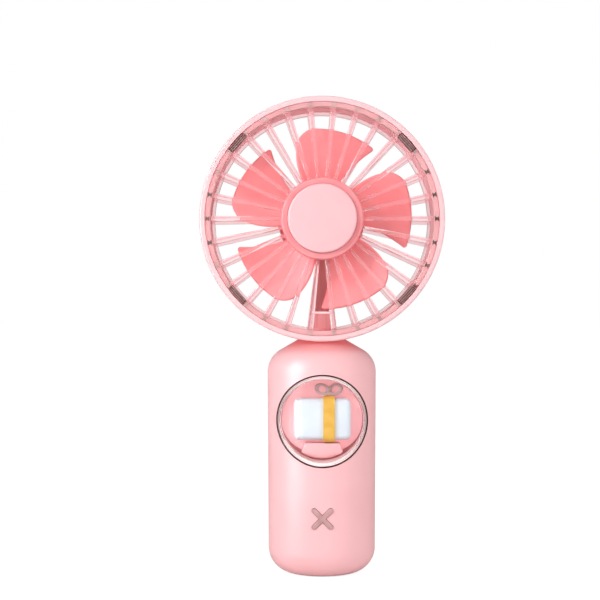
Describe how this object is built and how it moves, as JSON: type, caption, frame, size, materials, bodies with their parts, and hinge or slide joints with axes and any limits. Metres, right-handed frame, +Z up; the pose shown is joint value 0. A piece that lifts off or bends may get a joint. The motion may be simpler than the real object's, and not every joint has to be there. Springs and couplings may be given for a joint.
{
  "type": "handheld electric fan",
  "caption": "Handheld electric fan: a ribbed round guard with swept blades on a rounded grip that has a clear display window and a cross-shaped push button.",
  "frame": {"origin": "middle of the flat base that the fan stands on", "axes": "+Z up along the grip, the fan's front faces -Y, +X to the right as seen from the front"},
  "size_m": [0.0954, 0.0432, 0.1866],
  "materials": {
    "pink_abs": "satin",
    "pale_pink_abs": "satin",
    "coral_plastic": "satin",
    "strut_coral": "satin",
    "translucent_pink_pc": "translucent gloss",
    "clear_pc": "clear gloss",
    "brown_clip_plastic": "gloss",
    "dark_seal_rubber": "matt",
    "white_abs": "gloss",
    "yellow_paint": "satin",
    "frosted_plastic": "frosted",
    "grey_rose_plastic": "satin",
    "black_plastic": "matt",
    "circuit_board": "satin",
    "plated_steel": "plated",
    "nickel": "plated",
    "bronze": "sintered",
    "copper": "bare",
    "ferrite": "matt",
    "cell_sleeve": "sleeved",
    "black_foam": "matt",
    "cable_jacket": "satin"
  },
  "bodies": {
    "housing": {"front_shell": "pink_abs", "rear_shell": "pink_abs", "charm_stand": "pink_abs", "window_tray": "pale_pink_abs", "motor_cover": "pale_pink_abs", "motor_bracket": "strut_coral", "head_hoop": "translucent_pink_pc", "rear_grille": "translucent_pink_pc", "window_lens": "clear_pc", "guard_clip_1": "brown_clip_plastic", "guard_clip_2": "brown_clip_plastic", "guard_clip_3": "brown_clip_plastic", "guard_clip_4": "brown_clip_plastic", "window_seal": "dark_seal_rubber", "charm_box": "white_abs", "status_led": "white_abs", "motor_end_bell": "white_abs", "charm_ribbon": "yellow_paint", "charm_bow": "frosted_plastic", "switch_body": "black_plastic", "charge_chip": "black_plastic", "usb_tongue": "black_plastic", "main_board": "circuit_board", "shell_screw_1": "plated_steel", "shell_screw_2": "plated_steel", "shell_screw_3": "plated_steel", "shell_screw_4": "plated_steel", "board_screw_1": "plated_steel", "board_screw_2": "plated_steel", "usb_shell": "plated_steel", "battery_cap": "plated_steel", "motor_can": "plated_steel", "battery_tab_top": "nickel", "battery_tab_bottom": "nickel", "motor_bush": "bronze", "motor_terminal_1": "copper", "motor_terminal_2": "copper", "motor_magnet": "ferrite", "power_inductor": "ferrite", "battery_cell": "cell_sleeve", "battery_pad": "black_foam", "motor_cable": "cable_jacket", "battery_cable": "cable_jacket"},
    "rotor": {"fan_rotor": "coral_plastic", "motor_shaft": "plated_steel", "motor_armature": "copper", "motor_commutator": "copper"},
    "button": {"cross_button": "grey_rose_plastic", "switch_plunger": "white_abs"},
    "front_guard": {"front_grille": "translucent_pink_pc", "grille_cap": "pale_pink_abs"}
  },
  "joints": [
    {"name": "fan_spin", "type": "hinge", "parent": "housing", "child": "rotor", "pos_m": [0, 0, 0.13893], "axis": [0, 1, 0], "continuous": true},
    {"name": "button_press", "type": "slide", "parent": "housing", "child": "button", "axis": [0, 1, 0], "range_m": [0, 0.0006], "stiffness_N_per_m": 1500},
    {"name": "guard_pull", "type": "slide", "parent": "housing", "child": "front_guard", "axis": [0, -1, 0], "range_m": [0, 0.03]}
  ]
}
